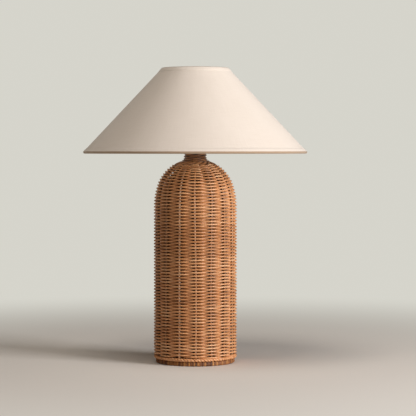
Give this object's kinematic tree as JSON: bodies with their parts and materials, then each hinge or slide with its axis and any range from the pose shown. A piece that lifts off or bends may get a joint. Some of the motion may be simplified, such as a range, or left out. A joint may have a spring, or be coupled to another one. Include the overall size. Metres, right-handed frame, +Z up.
{
  "type": "table lamp",
  "caption": "Table lamp with a domed cylindrical column of woven rattan on a weighted foot and a wide, low conical linen shade.",
  "frame": {"origin": "middle of the footprint, on the surface that the lamp stands on", "axes": "+Z up along the lamp's centre line; the front faces -Y, with the cable bush at the back and the switch bar along X"},
  "size_m": [0.45, 0.45, 0.592],
  "materials": {
    "felt": "matt needled felt",
    "plywood": "sanded birch plywood",
    "blackened_steel": "oiled black steel plate",
    "zinc": "bright zinc plate",
    "frame_paint": "thin brown enamel on wire",
    "reed": "smoked round core reed, satin lacquer",
    "stake_cane": "smoked cane stakes, satin lacquer",
    "foot_binding": "wrapped cane peel, satin lacquer",
    "plug_wood": "turned wood",
    "bronze_cap": "dark antique bronze",
    "rubber_black": "matt black rubber",
    "holder_black": "black thermoset, fine satin",
    "holder_core": "unglazed white steatite",
    "contact_brass": "plain brass",
    "switch_black": "polished black rod",
    "bulb_opal": "opal white glass",
    "bulb_aluminium": "rolled aluminium",
    "bulb_insulator_black": "black vitrite",
    "linen": "plain woven natural linen",
    "shade_liner": "off-white laminated liner",
    "shade_wire": "off-white powder coat",
    "sleeve_card": "dark brown lamp card"
  },
  "bodies": {
    "root": {"felt_pad": "felt", "base_board": "plywood", "ballast_plate": "blackened_steel", "ballast_screws": "zinc", "centre_tube": "zinc", "lower_nut": "zinc", "lower_washer": "zinc", "ballast_nut": "zinc", "ballast_washer": "zinc", "frame_nut": "zinc", "frame_legs": "frame_paint", "frame_hoop": "frame_paint", "frame_top_plate": "frame_paint", "inner_sleeve": "sleeve_card", "foot_ring": "foot_binding", "bottom_border": "reed", "stakes": "stake_cane", "wall_weave": "reed", "dome_weave": "reed", "collar_band": "reed", "neck_weave": "reed", "neck_plug": "plug_wood", "neck_cap": "bronze_cap", "cable_bush": "rubber_black", "holder_cap": "holder_black", "holder_shell": "holder_black", "holder_insert": "holder_core", "terminal_screws": "contact_brass", "centre_contact": "contact_brass", "screw_shell": "contact_brass"},
    "switch": {"switch_bar": "switch_black"},
    "retainer_lift": {"friction_washer": "rubber_black"},
    "retainer": {"retaining_ring": "holder_black"},
    "bulb_lift": {"bulb_contact": "contact_brass"},
    "bulb": {"bulb_insulator": "bulb_insulator_black", "bulb_cap": "bulb_aluminium", "bulb_glass": "bulb_opal"},
    "shade": {"bottom_wire_ring": "shade_wire", "top_wire_ring": "shade_wire", "shade_lining": "shade_liner", "shade_linen": "linen", "bottom_hem": "linen", "top_hem": "linen", "fitter_ring": "shade_wire", "fitter_arms": "shade_wire"}
  },
  "joints": [
    {"name": "shade_turn", "type": "hinge", "parent": "root", "child": "shade", "pos_m": [0, 0, 0.47], "axis": [0, 0, 1], "continuous": true},
    {"name": "retainer_rise", "type": "slide", "parent": "root", "child": "retainer_lift", "axis": [0, 0, 1], "range_m": [0, 0.004]},
    {"name": "retainer_turn", "type": "hinge", "parent": "retainer_lift", "child": "retainer", "pos_m": [0, 0, 0.476], "axis": [0, 0, 1], "range_deg": [0, 720]},
    {"name": "bulb_rise", "type": "slide", "parent": "root", "child": "bulb_lift", "axis": [0, 0, 1], "range_m": [0, 0.01815]},
    {"name": "bulb_turn", "type": "hinge", "parent": "bulb_lift", "child": "bulb", "pos_m": [0, 0, 0.48], "axis": [0, 0, 1], "range_deg": [0, 1800]},
    {"name": "switch_push", "type": "slide", "parent": "root", "child": "switch", "axis": [1, 0, 0], "range_m": [0, 0.004]}
  ],
  "couplings": [
    {"joint": "retainer_rise", "follows": "retainer_turn", "m_per_rad": 0.0003183},
    {"joint": "bulb_rise", "follows": "bulb_turn", "m_per_rad": 0.00057757}
  ]
}
